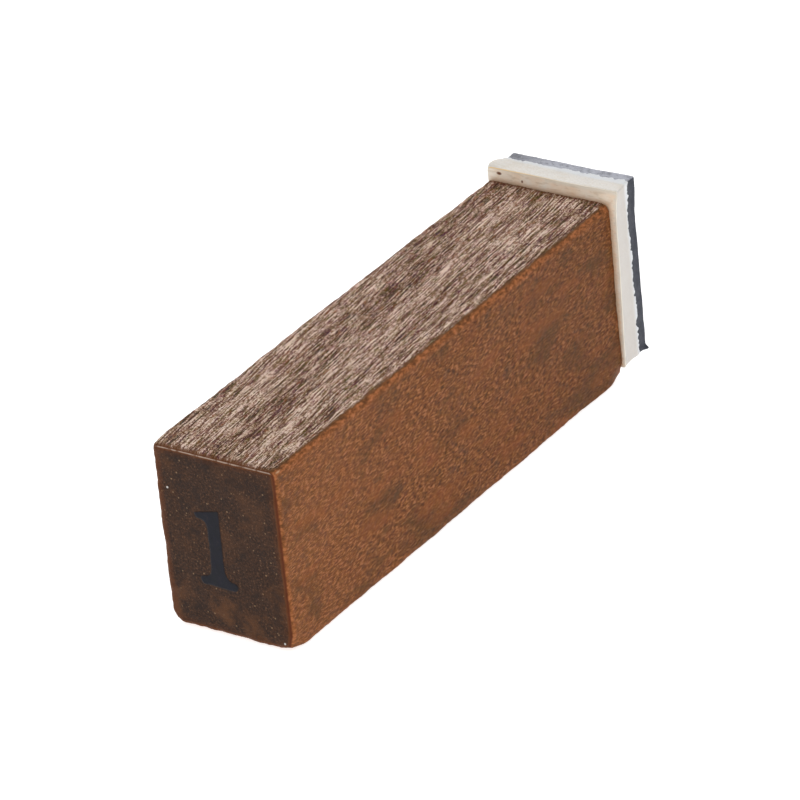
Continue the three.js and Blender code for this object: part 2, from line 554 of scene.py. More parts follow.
def raise_surface(piece, build_height):
    """Moves a piece's points along "out" by the height that build_height's nodes give."""
    tree = bpy.data.node_groups.new(piece.name + "_relief", "GeometryNodeTree")
    for way in ("INPUT", "OUTPUT"):
        tree.interface.new_socket("Geometry", in_out=way, socket_type="NodeSocketGeometry")
    nodes = Nodes(tree)
    source = nodes.add("NodeGroupInput").outputs[0]
    height = nodes.times(build_height(nodes), MM)
    offset = nodes.add("ShaderNodeVectorMath", {0: nodes.vector("out"), "Scale": height}, operation="SCALE")
    moved = nodes.add("GeometryNodeSetPosition", {"Geometry": source, "Offset": offset.outputs[0]})
    nodes.add("NodeGroupOutput", {0: moved.outputs[0]})
    piece.modifiers.new("relief", "NODES").node_group = tree
    graph = bpy.context.evaluated_depsgraph_get()
    shaped = bpy.data.meshes.new_from_object(piece.evaluated_get(graph))
    piece.modifiers.clear()
    piece.data = shaped
    bpy.data.node_groups.remove(tree)


def lumps(scale, roughness, low, high):
    """A height function for raise_surface: slow lumps from low to high."""
    def height(nodes):
        return nodes.between(nodes.noise(nodes.vector("place"), scale, 3.0, roughness), 0.3, 0.7, low, high)
    return height


def keep_cut_edges(piece):
    """Shades the piece smoothly but for the edges that a blade left."""
    piece.data.set_sharp_from_angle(angle=math.radians(BLADE_ANGLE))


def hand_over(piece, material, slot, body, *nodes):
    """Gives a piece its material and body, and hides the CAD nodes it stands for. Its slot is not used."""
    piece.data.materials.append(material)
    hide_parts(*nodes)
    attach(piece, body)


# ---- wood fields, in a material or in geometry


def drifted(nodes, drift):
    """Grain coordinates on the long faces: (across the grain, along the handle, 0)."""
    along = nodes.vector("along")
    parts = nodes.parts(along)
    waver = nodes.centred(nodes.noise(along, (0.3, 0.13, 1.0), 1.0))
    wiggle = nodes.centred(nodes.noise(along, (1.1, 0.55, 1.0), 1.0))
    across = nodes.total(parts[0], (parts[1], -drift), (waver, 0.3), (wiggle, 0.07))
    return nodes.add("ShaderNodeCombineXYZ", {0: across, 1: parts[1], 2: parts[2]}).outputs[0]


def ridges(nodes, grain):
    """The brushed top's fibres, from 0 in the grooves to 1 on the crests."""
    fine = nodes.noise(grain, (8.4, 0.45, 1.0), 1.0, 0.6)
    short = nodes.noise(grain, (7.6, 2.6, 1.0), 2.0, 0.7, (31.0, 5.0, 0.0))
    broad = nodes.noise(grain, (3.0, 0.11, 1.0), 1.0, 0.5, (7.0, 60.0, 0.0))
    grit = nodes.noise(grain, (9.0, 6.5, 1.0), 1.0, 0.6, (17.0, 33.0, 0.0))
    total = nodes.total((fine, 0.38), (short, 0.26), (broad, 0.11), (grit, 0.25))
    return nodes.between(total, 0.435, 0.565, smooth=False)


def flecks(nodes, grain):
    """The sanded sides' short flecks, from 0 in the pores to 1."""
    short = nodes.noise(grain, (4.6, 2.0, 1.0), 3.0, 0.7, (3.0, 90.0, 0.0))
    drawn = nodes.noise(grain, (9.5, 2.3, 1.0), 2.0, 0.7, (63.0, 20.0, 0.0))
    total = nodes.total((short, 0.42), (drawn, 0.58))
    return nodes.between(total, 0.42, 0.58, smooth=False)


def wood_height(nodes):
    """How far the wood stands out from its plain shape."""
    grain = drifted(nodes, GRAIN_DRIFT)
    brushed = nodes.between(ridges(nodes, grain), 0.0, 1.0, -0.05, 0.03, smooth=False)
    sanded = nodes.between(flecks(nodes, grain), 0.0, 1.0, -0.015, 0.01, smooth=False)
    uneven = nodes.noise(nodes.vector("across"), (1.1, 1.1, 1.0), 2.0)
    plain = nodes.between(uneven, 0.3, 0.7, -0.01, 0.01, smooth=False)
    long_faces = nodes.mix_numbers(nodes.number("top"), sanded, brushed)
    height = nodes.mix_numbers(nodes.number("end"), long_faces, plain)
    place = nodes.vector("place")
    slow = nodes.between(nodes.noise(place, (0.25, 0.12, 0.25), 1.0), 0.25, 0.75, -0.04, 0.04)
    knocks = nodes.between(nodes.noise(place, (0.8, 0.45, 0.8), 3.0, 0.6), 0.35, 0.65, -0.06, 0.03)
    long_edge = nodes.between(nodes.number("edge"), 0.1, 0.8, 0.5, 0.0)
    knocks = nodes.times(knocks, nodes.math("MAXIMUM", long_edge, nodes.number("lip")))
    return nodes.total(height, slow, knocks)


# ---- the wooden handle


def handle_stations(low, high):
    """The handle's rings from end to end: (y, how far in from the full section, tilt of the skin)."""
    tilts = [math.pi / 2 * k / END_ROUND_ROWS for k in range(END_ROUND_ROWS, 0, -1)]
    start, stop = low[1] + MARKED_END_ROUND, high[1] - GLUED_END_ROUND
    rows = round((stop - start) / HANDLE_ROW_STEP)

    def rounding(y, radius, tilt):
        return y + radius * math.sin(tilt), radius * (1 - math.cos(tilt)), tilt

    stations = [rounding(start, MARKED_END_ROUND, -tilt) for tilt in tilts]
    stations += [(start + (stop - start) * k / rows, 0.0, 0.0) for k in range(rows + 1)]
    return stations + [rounding(stop, GLUED_END_ROUND, tilt) for tilt in reversed(tilts)]


def worn_outline(low, high, y, step_in):
    """The handle's outline at y, moved in, with its worn corners near the two ends."""
    ring = rounded_ring(low, high, HANDLE_CORNERS, HANDLE_STEPS, inset=step_in)[0]
    at_marked, at_glued = near(y, low[1], END_WEAR_REACH), near(y, high[1], END_WEAR_REACH)
    wear, upper_wear = END_WEAR * max(at_marked, at_glued), MARKED_END_WEAR * at_marked
    ring = corner_moved(ring, (high[0], low[2]), -wear, wear)
    return corner_moved(ring, (low[0], high[2]), upper_wear, -upper_wear, UPPER_CORNER_REACH)


def add_handle_end(skin, border, outline, y, towards):
    """Closes the handle's end that looks towards -Y (-1) or +Y (+1)."""
    points, triangles = filled([outline], HANDLE_CAP_STEP)
    extra = points[len(outline):]
    inset = distance_to(extra, outline)
    across = np.column_stack([extra, np.full(len(extra), y)])
    numbers = skin.add(
        in_space(extra, y), along=across, across=across, out=(0, towards, 0), top=0.0, end=1.0,
        lip=np.clip(1 - 2 * inset, 0, 1), edge=FAR_FROM_EDGE, rim=inset,
    )
    skin.patch(np.concatenate([border, numbers]), triangles, flip=towards > 0)


def build_handle():
    """The wooden bar: rings along it and two ends, then its grain raised."""
    low, high = box_mm("handle_block")
    _, normals, distance, shares = rounded_ring(low, high, HANDLE_CORNERS, HANDLE_STEPS)
    count = len(normals)
    edge_gap = distance_to_edges(distance, shares)
    skin = Skin()
    rings = []
    for y, step_in, tilt in handle_stations(low, high):
        outline = worn_outline(low, high, y, step_in)
        skin.grow(
            rings,
            in_space(outline, y),
            along=np.column_stack([distance, np.full(count, y), np.zeros(count)]),
            across=np.column_stack([outline, np.full(count, y)]),
            out=in_space(normals, 0.0) * math.cos(tilt) + np.array([0, math.sin(tilt), 0]),
            top=shares["top"],
            end=abs(tilt) / (math.pi / 2),
            lip=math.sin(abs(tilt)),
            edge=edge_gap,
            rim=0.0,
        )
    for y, towards, step_in, border in (
        (low[1], -1, MARKED_END_ROUND, rings[0]),
        (high[1], 1, GLUED_END_ROUND, rings[-1]),
    ):
        add_handle_end(skin, border, worn_outline(low, high, y, step_in), y, towards)
    piece = skin.finish("wooden_handle")
    raise_surface(piece, wood_height)
    hand_over(piece, wood_material(), "stained_wood", "handle", "handle_block")


def distance_to_edges(distance, shares):
    """How far each point of the section is from the middle of the nearest long edge."""
    total = distance[-1]
    gaps = []
    for k, side in enumerate(SIDES):
        after = shares[SIDES[(k + 1) % 4]]
        turning = np.flatnonzero((shares[side] > 0.3) & (after > 0.3))
        apart = np.abs(distance - distance[turning].mean())
        gaps.append(np.minimum(apart, total - apart))
    return np.min(gaps, axis=0)


def brushed_colour(nodes, grain):
    """The top: pale crests, partly the grain's own colour and partly painted sheen, dark grooves, and broad
    bands of figure.
    """
    level = ridges(nodes, grain)
    parts = nodes.parts(nodes.vector("place"))
    waver = nodes.centred(nodes.noise(grain, (0.5, 0.09, 1.0), 2.0))
    figure = nodes.total(parts[0], (parts[1], FIGURE_DRIFT), (waver, 1.6))
    band = nodes.ramp(
        nodes.between(figure, -6.0, 6.0, smooth=False),
        *((place, (grey, grey, grey, 1)) for place, grey in FIGURE_BANDS),
    )
    patchy = nodes.noise(grain, (1.2, 0.055, 1.0), 2.0, 0.5, (12.0, 8.0, 0.0))
    lift = nodes.total((nodes.centred(band), 0.44), (nodes.centred(patchy), 0.44))
    level = nodes.math("ADD", level, lift)
    # Painted sheen: the ramp takes the crests up to pale pinkish grey. This stands in for light glancing off
    # the fibres, laid over the wood's own brown.
    colour = nodes.colours(
        level, (0.0, 77, 52, 37), (0.25, 116, 83, 62), (0.5, 150, 117, 95), (0.75, 188, 155, 134),
        (1.0, 230, 203, 185),
    )
    colour = nodes.tinted(colour, grain, (4.6, 1.2, 1.0), 0.05)
    rusty = nodes.noise(grain, (3.2, 1.0, 1.0), 2.0, 0.5, (50.0, 3.0, 0.0))
    return nodes.overlaid(colour, rusty, 0.6, 0.72, 0.6, (150, 90, 58))


def sanded_colour(nodes, grain):
    """The other three long faces: red-brown, finely flecked, with darker clouds, painted light towards the
    marked end and painted shade towards the glued end.
    """
    place = nodes.vector("place")
    colour = nodes.colours(
        flecks(nodes, grain), (0.0, 78, 46, 23), (0.35, 111, 66, 32), (0.65, 124, 74, 36),
        (1.0, 164, 106, 66),
    )
    along = nodes.parts(place)[1]
    # Painted light and shade: paler towards the marked end, darker towards the glued end.
    colour = nodes.mix(nodes.between(along, -20.0, -2.0, 0.22, 0.0), colour, (156, 98, 60))
    colour = nodes.overlaid(colour, along, -8.0, 20.0, 0.3, (84, 47, 20))
    clouds = nodes.noise(place, (0.3, 0.22, 0.42), 3.0, 0.6)
    colour = nodes.overlaid(colour, clouds, 0.48, 0.66, 0.6, (80, 53, 28))
    small = nodes.noise(place, (0.9, 0.7, 1.1), 2.0, 0.5, (5.0, 9.0, 2.0))
    colour = nodes.overlaid(colour, small, 0.6, 0.75, 0.4, (74, 56, 42))
    warm = nodes.noise(place, (0.5, 0.25, 0.7), 2.0, 0.5, (40.0, 0.0, 0.0))
    colour = nodes.overlaid(colour, warm, 0.52, 0.7, 0.45, (134, 76, 37))
    return nodes.tinted(colour, grain, (2.4, 1.2, 1.0), 0.008)


def end_colour(nodes):
    """The two ends: dark umber, with warmer worn patches, pale dust and a red rim."""
    place = nodes.vector("place")
    parts = nodes.parts(place)
    pores = nodes.noise(place, 6.0, 3.0, 0.72)
    colour = nodes.colours(
        pores, (0.32, 33, 25, 21), (0.48, 60, 42, 33), (0.6, 76, 52, 38), (0.74, 136, 103, 78),
    )
    patches = nodes.noise(place, 0.42, 3.0, 0.65, (3.0, 0.0, 8.0))
    low_down = nodes.between(parts[2], 1.0, 6.0, 0.8, 0.35)
    worn = nodes.times(nodes.between(patches, 0.44, 0.7), low_down)
    colour = nodes.mix(worn, colour, (101, 66, 42))
    soot = nodes.noise(place, 0.9, 3.0, 0.6, (13.0, 5.0, 8.0))
    colour = nodes.overlaid(colour, soot, 0.48, 0.68, 0.65, (46, 35, 31))
    dust = nodes.dots(place, 2.4, (0.05, 0.2), (0.55, 0.6), 0.55)
    colour = nodes.mix(dust, colour, (176, 142, 108))
    ragged = nodes.centred(nodes.noise(place, 1.6, 3.0, 0.6, (2.0, 4.0, 6.0)))
    rim = nodes.total(nodes.number("rim"), (ragged, 0.4))
    to_left = nodes.between(parts[0], -4.4, -3.6, 1.0, 0.5)
    rim_share = nodes.times(nodes.between(rim, 0.02, 0.4, 0.55, 0.0), to_left)
    return nodes.mix(rim_share, colour, (98, 56, 33))


def worn_colour(nodes):
    """Where the stain has rubbed through to paler wood."""
    place = nodes.vector("place")
    return nodes.colours(
        nodes.noise(place, (4.2, 2.4, 4.2), 3.0, 0.65), (0.34, 94, 58, 31), (0.5, 143, 86, 48),
        (0.64, 182, 113, 70),
    )


def edge_colour(nodes, place, out):
    """The ends' edges: a broken painted highlight along the upper lip, dark red at the right, else brown."""
    brown = nodes.mix(nodes.between(out[0], 0.2, 0.6), (100, 60, 36), (92, 46, 26))
    # Painted highlight: a pale line where the end's rounding faces up, broken up by noise.
    broken = nodes.between(nodes.noise(place, 1.9, 3.0, 0.7), 0.4, 0.54, 0.25, 0.95)
    pale = nodes.times(nodes.between(out[2], 0.3, 0.5), broken)
    from_lip = nodes.math("ABSOLUTE", nodes.math("SUBTRACT", nodes.number("end"), 0.72))
    pale = nodes.times(pale, nodes.between(from_lip, 0.06, 0.14, 1.0, 0.0))
    return nodes.mix(pale, brown, (192, 168, 152))


def long_face_colour(nodes, grain, ragged, parts, half_length):
    """The long faces, rubbed pale along their edges. Returns their colour and where the brushed top is."""
    to_end = nodes.math("SUBTRACT", half_length, nodes.math("ABSOLUTE", parts[1]))
    long_edge = nodes.total(nodes.number("edge"), (ragged, 0.8))
    end_edge = nodes.total(to_end, (ragged, 0.9))
    # The brushed top stops short of its ends, where the sanding has rounded it.
    near_end = nodes.between(end_edge, 0.2, 1.0, 1.0, 0.0)
    border = nodes.total(nodes.number("top"), (ragged, 0.5), (near_end, -0.15))
    is_top = nodes.between(border, 0.6, 0.84)
    upper = nodes.between(parts[2], 2.0, 9.0, 0.2, 1.0)
    right = nodes.between(parts[0], -1.0, 1.0, 0.5, 1.0)
    rubbed = nodes.times(nodes.times(nodes.between(long_edge, 0.2, 0.6, 0.9, 0.0), upper), right)
    at_marked_end = nodes.between(parts[1], 1.0, -1.0)
    end_rubbed = nodes.times(nodes.between(end_edge, 0.15, 0.6, 0.8, 0.0), at_marked_end)
    rubbed = nodes.math("MAXIMUM", rubbed, end_rubbed)
    side = nodes.mix(rubbed, sanded_colour(nodes, grain), worn_colour(nodes))
    behind_lip = nodes.between(end_edge, 0.12, 0.42, 0.8, 0.0)
    brushed = nodes.mix(behind_lip, brushed_colour(nodes, grain), (116, 73, 48))
    # A thin dark line runs where the brushed top meets the rubbed edge.
    seam = nodes.times(nodes.between(border, 0.48, 0.64), nodes.between(border, 0.72, 0.9, 1.0, 0.0))
    body = nodes.mix(is_top, side, brushed)
    return nodes.mix(nodes.times(seam, 0.6), body, (84, 58, 30)), is_top


def with_marks(nodes, colour, place, ragged, low, high):
    """The colour with two specks of dust and a painted glint near the marked end's upper right corner."""
    front = low[1]
    for point in ((-3.87, front, 10.22), (4.12, front, 0.56)):
        colour = nodes.mix(nodes.speck(place, point, 0.1), colour, (205, 200, 195))
    # Painted highlight: a small pale glint on the right side, by the marked end's upper corner.
    corner = (high[0], front + 0.55, high[2] - 0.22)
    corner_glint = nodes.speck(place, corner, 0.16, (1.0, 3.0, 0.8))
    corner_glint = nodes.times(corner_glint, nodes.between(ragged, -0.15, 0.1, 0.3, 0.9))
    return nodes.mix(corner_glint, colour, (206, 166, 130))


def wood_material():
    """Dark stained hardwood, its faces blended where they meet."""
    material, nodes, shader = new_material("stained_wood")
    low, high = box_mm("handle_block")
    grain = drifted(nodes, GRAIN_DRIFT)
    place, end = nodes.vector("place"), nodes.number("end")
    parts, out = nodes.parts(place), nodes.parts(nodes.vector("out"))
    ragged = nodes.centred(nodes.noise(grain, (2.8, 1.1, 1.0), 3.0, 0.7, (9.0, 9.0, 0.0)))
    colour, is_top = long_face_colour(nodes, grain, ragged, parts, high[1])
    colour = nodes.mix(nodes.between(end, 0.35, 0.6), colour, edge_colour(nodes, place, out))
    colour = nodes.mix(nodes.between(end, 0.84, 1.0), colour, end_colour(nodes))
    colour = with_marks(nodes, colour, place, ragged, low, high)

    is_end = nodes.between(end, 0.35, 0.75)
    crests = ridges(nodes, grain)
    rough_long = nodes.mix_numbers(is_top, 0.5, nodes.between(crests, 0.2, 1.0, 0.62, 0.46))
    roughness = nodes.mix_numbers(is_end, rough_long, 0.5)
    fibres = nodes.mix_numbers(is_top, nodes.noise(grain, (8.0, 2.6, 1.0), 2.0, 0.65), crests)
    height = nodes.mix_numbers(is_end, fibres, nodes.noise(place, 12.0, 2.0, 0.6))
    finish_shader(nodes, shader, colour, roughness, 0.08, height, 0.06, 0.9)
    return material


# ---- the printed numeral


def build_ink():
    """The printed numeral: a thin layer with a ragged edge, sunk in the marked end."""
    marked_end = box_mm("index_numeral")[0][1]
    random = np.random.default_rng(SEED)
    outline = softened(resampled(end_outline("index_numeral", -1), INK_STEP), 8)
    count = len(outline)
    rag = INK_RAG * (0.6 * rough(count, 6, random) + 0.6 * rough(count, 40, random))
    outline = outline + outward(outline) * rag[:, None]
    points, triangles = filled([outline], INK_FACE_STEP)
    grain = np.column_stack([points, np.full(len(points), marked_end)])
    values = {"across": grain, "out": (0, -1, 0), "end": 1.0, "edge": FAR_FROM_EDGE}
    values["rim"] = distance_to(points, outline)
    skin = Skin()
    front = skin.add(in_space(points, marked_end - INK_RISE), **values)
    back = skin.add(in_space(points, marked_end + INK_DEPTH), **values)
    skin.patch(front, triangles)
    skin.patch(back, triangles, flip=True)
    skin.bridge(back[:count], front[:count])
    piece = skin.finish("printed_numeral")
    raise_surface(piece, wood_height)
    hand_over(piece, ink_material(), "stamp_ink", "handle", "index_numeral")


def ink_material():
    """Near-black ink, blotchy, thin over the pores and feathered at its edge."""
    material, nodes, shader = new_material("stamp_ink")
    place = nodes.vector("place")
    blotches = nodes.noise(place, 1.4, 3.0, 0.6)
    colour = nodes.colours(blotches, (0.35, 20, 21, 28), (0.6, 30, 30, 39), (0.75, 44, 41, 46))
    pores = nodes.noise(place, 7.0, 2.0, 0.7)
    colour = nodes.overlaid(colour, pores, 0.64, 0.76, 0.5, (66, 50, 40))
    feathered = nodes.between(nodes.number("rim"), 0.0, 0.1, 0.45, 0.0)
    colour = nodes.mix(feathered, colour, (62, 47, 38))
    roughness = nodes.between(blotches, 0.3, 0.7, 0.5, 0.65)
    finish_shader(nodes, shader, colour, roughness, 0.15, nodes.noise(place, 9.0, 2.0), 0.015, 0.6)
    return material


# ---- the pad's sheets


def cut_outline(node):
    """The outline that one wavering cut gave the whole pad: points, normals and each side's share."""
    random = np.random.default_rng(SEED + 1)
    low, high = box_mm(node)
    steps = dict.fromkeys(SIDES, PAD_STEP)
    ring, normals, _, shares = rounded_ring(low, high, PAD_CORNERS, steps, PAD_TURN_STEP)
    waver = CUT_WAVE * rough(len(ring), 900, random) + 0.3 * CUT_WAVE * rough(len(ring), 12, random)
    return ring + normals * waver[:, None], normals, shares


def corner_moved(ring, corner, across, up, reach=CORNER_REACH):
    """The outline with one corner carried across and up."""
    share = near(np.linalg.norm(ring - np.array(corner), axis=1), 0.0, reach)
    return ring + share[:, None] * np.array([across, up])


def drawn_in(ring):
    """The outline with its left side brought in to where the rubber stops."""
    left, right = ring[:, 0].min(), ring[:, 0].max()
    share = (right - ring[:, 0]) / (right - left)
    return ring + np.column_stack([DIE_LEFT_SHORT * share, np.zeros(len(ring))])


def add_cut_side(skin, outlines, normals):
    """Adds a sheet's cut side from (y, outline) pairs. Returns its rings."""
    rings = []
    for k, (y, outline) in enumerate(outlines):
        tilt = {0: -1.0, len(outlines) - 1: 1.0}.get(k, 0.0)
        out = in_space(normals, tilt)
        out /= np.linalg.norm(out, axis=1)[:, None]
        skin.grow(rings, in_space(outline, y), out=out, side=1.0)
    return rings


def add_face(skin, border, y, outline, towards, step):
    """Closes a ring with a face that looks towards -Y (-1) or +Y (+1)."""
    points, triangles = filled([outline], step)
    numbers = skin.add(in_space(points[len(outline):], y), out=(0, towards, 0), side=0.0)
    skin.patch(np.concatenate([border, numbers]), triangles, flip=towards > 0)


def as_glued(points):
    """The pad's points with its curled corner, sagging foot and leaning right side."""
    low, high = box_mm("handle_adhesive_film")
    die_start = box_mm("rubber_die")[0][1]
    x, y, z = points.T
    share = np.clip((y - low[1]) / (die_start - low[1]), 0, 1)
    to_right = np.clip((x - low[0]) / (high[0] - low[0]), 0, 1)
    upward = np.clip((z - low[2]) / (high[2] - low[2]), 0, 1)
    reach = CURL_REACH[0] + (CURL_REACH[1] - CURL_REACH[0]) * share
    curl = CORNER_CURL * to_right * near(z, high[2], reach)
    lean = (1 - share) * to_right ** 4 * (LEAN[0] + (LEAN[1] - LEAN[0]) * upward)
    sag = FOOT_SAG * (1 - share) * near(z, low[2], SAG_REACH)
    return points + np.column_stack([lean, curl, -sag])


def build_film(name, outlines, normals, step):
    """A film with its cut side and both faces, the first with points a step apart."""
    skin = Skin()
    rings = add_cut_side(skin, outlines, normals)
    add_face(skin, rings[0], *outlines[0], -1, step)
    add_face(skin, rings[-1], *outlines[-1], 1, PAD_FACE_STEP)
    return skin.finish(name, as_glued)


def build_handle_film():
    """The adhesive film on the handle's end, whose rim is seen round the wood."""
    low, high = box_mm("handle_adhesive_film")
    ring, normals, _ = cut_outline("handle_adhesive_film")
    outlines = [
        (low[1], ring - normals * FILM_SETBACK),
        (low[1] + FILM_EASE, ring),
        ((low[1] + high[1]) / 2, ring + normals * FILM_BULGE),
        (high[1], ring),
    ]
    piece = build_film("handle_adhesive_sheet", outlines, normals, SEEN_FILM_STEP)
    raise_surface(piece, lumps(1.3, 0.5, -0.018, 0.0))
    keep_cut_edges(piece)
    hand_over(piece, film_material("aged_adhesive"), "adhesive_film", "handle", "handle_adhesive_film")


def film_material(name):
    """Adhesive film: cream where it was handled, painted shade in tan beside the wood, with dirt stuck to
    it.
    """
    material, nodes, shader = new_material(name)
    high = box_mm("handle_block")[1]
    place = nodes.vector("place")
    parts = nodes.parts(place)
    smudges = nodes.noise(place, 0.7, 3.0, 0.6)
    colour = nodes.colours(smudges, (0.3, 250, 224, 196), (0.5, 255, 238, 217), (0.7, 255, 247, 234))
    streaks = nodes.noise(place, (1.2, 1.2, 5.0), 3.0, 0.6, (4.0, 0.0, 4.0))
    colour = nodes.overlaid(colour, streaks, 0.5, 0.66, 0.5, (214, 192, 162))
    # Painted shade: tan where the film meets the wood, fading outwards.
    above = nodes.math("SUBTRACT", parts[2], high[2])
    beside = nodes.math("SUBTRACT", parts[0], high[0])
    from_wood = nodes.total(nodes.math("MAXIMUM", above, beside), (nodes.centred(streaks), 0.5))
    colour = nodes.mix(nodes.between(from_wood, -0.1, 0.34, 0.7, 0.0), colour, (208, 166, 126))
    # The cut side is yellower where it faces up, more so towards the left.
    upward = nodes.between(nodes.parts(nodes.vector("out"))[2], 0.3, 0.8)
    upward_yellow = nodes.times(nodes.between(parts[0], -4.5, 2.0, 1.0, 0.1), upward)
    side = nodes.mix(upward_yellow, (236, 228, 214), (238, 204, 150))
    colour = nodes.mix(nodes.number("side"), colour, side)
    scattered = nodes.dots(place, (1.1, 0.2, 1.3), (0.06, 0.16), (0.8, 0.84), 0.5)
    spot = nodes.speck(place, (-3.96, high[1], 13.85), 0.15, (1.7, 1.0, 1.0))
    small_spot = nodes.speck(place, (-2.14, high[1], 13.57), 0.12, (0.9, 1.0, 1.2))
    dirt = nodes.math("MAXIMUM", scattered, nodes.math("MAXIMUM", spot, small_spot))
    colour = nodes.mix(dirt, colour, (122, 78, 52))
    roughness = nodes.between(smudges, 0.3, 0.7, 0.6, 0.35)
    finish_shader(nodes, shader, colour, roughness, 0.3, nodes.noise(place, 4.0, 3.0, 0.6), 0.03, 0.5)
    return material


def torn_lengths(ring, shares, random):
    """How far the foam's torn rim reaches over the rubber."""
    count = len(ring)
    low, high = ring.min(0), ring.max(0)
    to_right = (ring[:, 0] - low[0]) / (high[0] - low[0])
    bite = 0.5 + 0.5 * rough(count, 60, random)
    teeth = np.clip(0.5 + 0.9 * rough(count, 1, random) + 0.5 * rough(count, 6, random), 0, 1)
    amount = shares["right"] + shares["top"] * (0.25 + 0.75 * to_right)
    amount += 0.35 * (shares["bottom"] + shares["left"])
    return 0.02 + 0.1 * shares["top"] + TORN_REACH * amount * (0.65 + 0.35 * bite) * teeth


def build_cushion():
    """The foam, pinched a little between its films, with a torn rim left by the blade."""
    random = np.random.default_rng(SEED + 2)
    low, high = box_mm("foam_cushion")
    ring, normals, shares = cut_outline("foam_cushion")
    corner = (low[0], high[2])
    outlines = []
    for k in range(CUSHION_ROWS):
        share = k / CUSHION_ROWS
        stand_off = FOAM_PROUD * share - CUSHION_PINCH * math.sin(math.pi * share)
        y = low[1] + (high[1] - low[1]) * share
        swell = CORNER_SWELL * math.sin(math.pi * share ** 0.8)
        moved = corner_moved(ring, corner, CORNER_TRIM * share - swell, swell)
        outlines.append((y, moved + normals * stand_off))
    skin = Skin()
    rings = add_cut_side(skin, outlines, normals)
    lengths = torn_lengths(ring, shares, random)
    rim = corner_moved(ring, corner, CORNER_TRIM, 0.0) + normals * FOAM_PROUD
    for reach, stand_off in TORN_PROFILE:
        outline = rim + normals * stand_off
        points = in_space(outline, high[1])
        points[:, 1] += reach * lengths
        skin.grow(rings, points, out=in_space(normals, 0.0), side=1.0)
    add_face(skin, rings[0], low[1], outlines[0][1], -1, PAD_FACE_STEP)
    add_face(skin, rings[-1], high[1], outline, 1, PAD_FACE_STEP)
    piece = skin.finish("foam_pad", as_glued)
    raise_surface(piece, foam_height)
    keep_cut_edges(piece)
    hand_over(piece, foam_material(), "cushion_foam", "handle", "foam_cushion")
    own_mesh(piece)


def foam_height(nodes):
    """Open cells on the cut sides. The faces stay flat where the films hold them."""
    place = nodes.vector("place")
    cells = nodes.noise(place, 5.0, 2.0, 0.6)
    slow = nodes.noise(place, 0.9, 2.0)
    depth = nodes.total(
        nodes.between(cells, 0.3, 0.7, -0.01, 0.004), nodes.between(slow, 0.3, 0.7, -0.02, 0.02)
    )
    return nodes.times(depth, nodes.number("side"))


def foam_material():
    """White cellular foam, with grime, painted shade on its right-facing sides, and clean bluish white where
    it was torn.
    """
    material, nodes, shader = new_material("cushion_foam")
    foam_end = box_mm("foam_cushion")[1][1]
    place = nodes.vector("place")
    cells = nodes.noise(place, 7.0, 3.0, 0.65)
    colour = nodes.colours(cells, (0.3, 224, 218, 208), (0.5, 232, 227, 220), (0.7, 237, 233, 228))
    grime = nodes.noise(place, (0.45, 0.9, 0.45), 3.0, 0.6)
    colour = nodes.overlaid(colour, grime, 0.5, 0.72, 0.35, (216, 203, 184))
    # Painted shade: the sides that face right are greyer.
    right_side_shade = nodes.between(nodes.parts(nodes.vector("out"))[0], 0.3, 0.9, 0.0, 0.8)
    colour = nodes.mix(right_side_shade, colour, (207, 202, 197))
    fresh = nodes.between(nodes.parts(place)[1], foam_end - 0.15, foam_end + 0.2, 0.0, 0.8)
    colour = nodes.mix(fresh, colour, (233, 236, 240))
    roughness = nodes.between(cells, 0.3, 0.7, 0.95, 0.8)
    finish_shader(nodes, shader, colour, roughness, 0.25, cells, 0.02, 0.4)
    nodes.put(shader, "Subsurface Weight", 0.15)
    nodes.put(shader, "Subsurface Radius", (1.0, 0.85, 0.7))
    nodes.put(shader, "Subsurface Scale", 0.3 * MM)
    return material


def build_die_film():
    """The adhesive film between the foam and the rubber, seen as a thin line."""
    low, high = box_mm("die_adhesive_film")
    ring, normals, _ = cut_outline("die_adhesive_film")
    outline = drawn_in(ring) - normals * FILM_SETBACK
    outlines = [(low[1] + FILM_GAP, outline), (high[1] - FILM_GAP, outline)]
    piece = build_film("die_adhesive_sheet", outlines, normals, PAD_FACE_STEP)
    keep_cut_edges(piece)
    hand_over(piece, film_material("clear_adhesive"), "adhesive_film", "die", "die_adhesive_film")


def die_outlines(ring, normals, flash, start, stop):
    """The (y, outline) pairs of the rubber's cut side, with its point of flash."""
    outlines = []
    for k in range(DIE_ROWS + 1):
        share = k / DIE_ROWS
        setback = DIE_HOLLOW * math.sin(math.pi * share) - flash * share ** 3
        if k == DIE_ROWS:
            setback = setback + DIE_EASE
        outlines.append((start + (stop - start) * share, ring - normals * np.reshape(setback, (-1, 1))))
    return outlines


def add_relief(skin, floor_end):
    """Adds the raised numeral above its foot. Returns the foot's points and its outline."""
    crown = softened(resampled(end_outline("rubber_die", 1), RELIEF_STEP), 2)
    spread = outward(softened(crown, 6))
    outlines = [crown + spread * reach for reach, _ in RELIEF_PROFILE]
    rings = []
    for outline, (_, rise) in zip(outlines, RELIEF_PROFILE):
        skin.grow(rings, in_space(outline, floor_end + rise), out=in_space(spread, 0.0), side=0.0)
    add_face(skin, rings[-1], floor_end + RELIEF_HEIGHT, outlines[-1], 1, RELIEF_FACE_STEP)
    return rings[0], outlines[0]


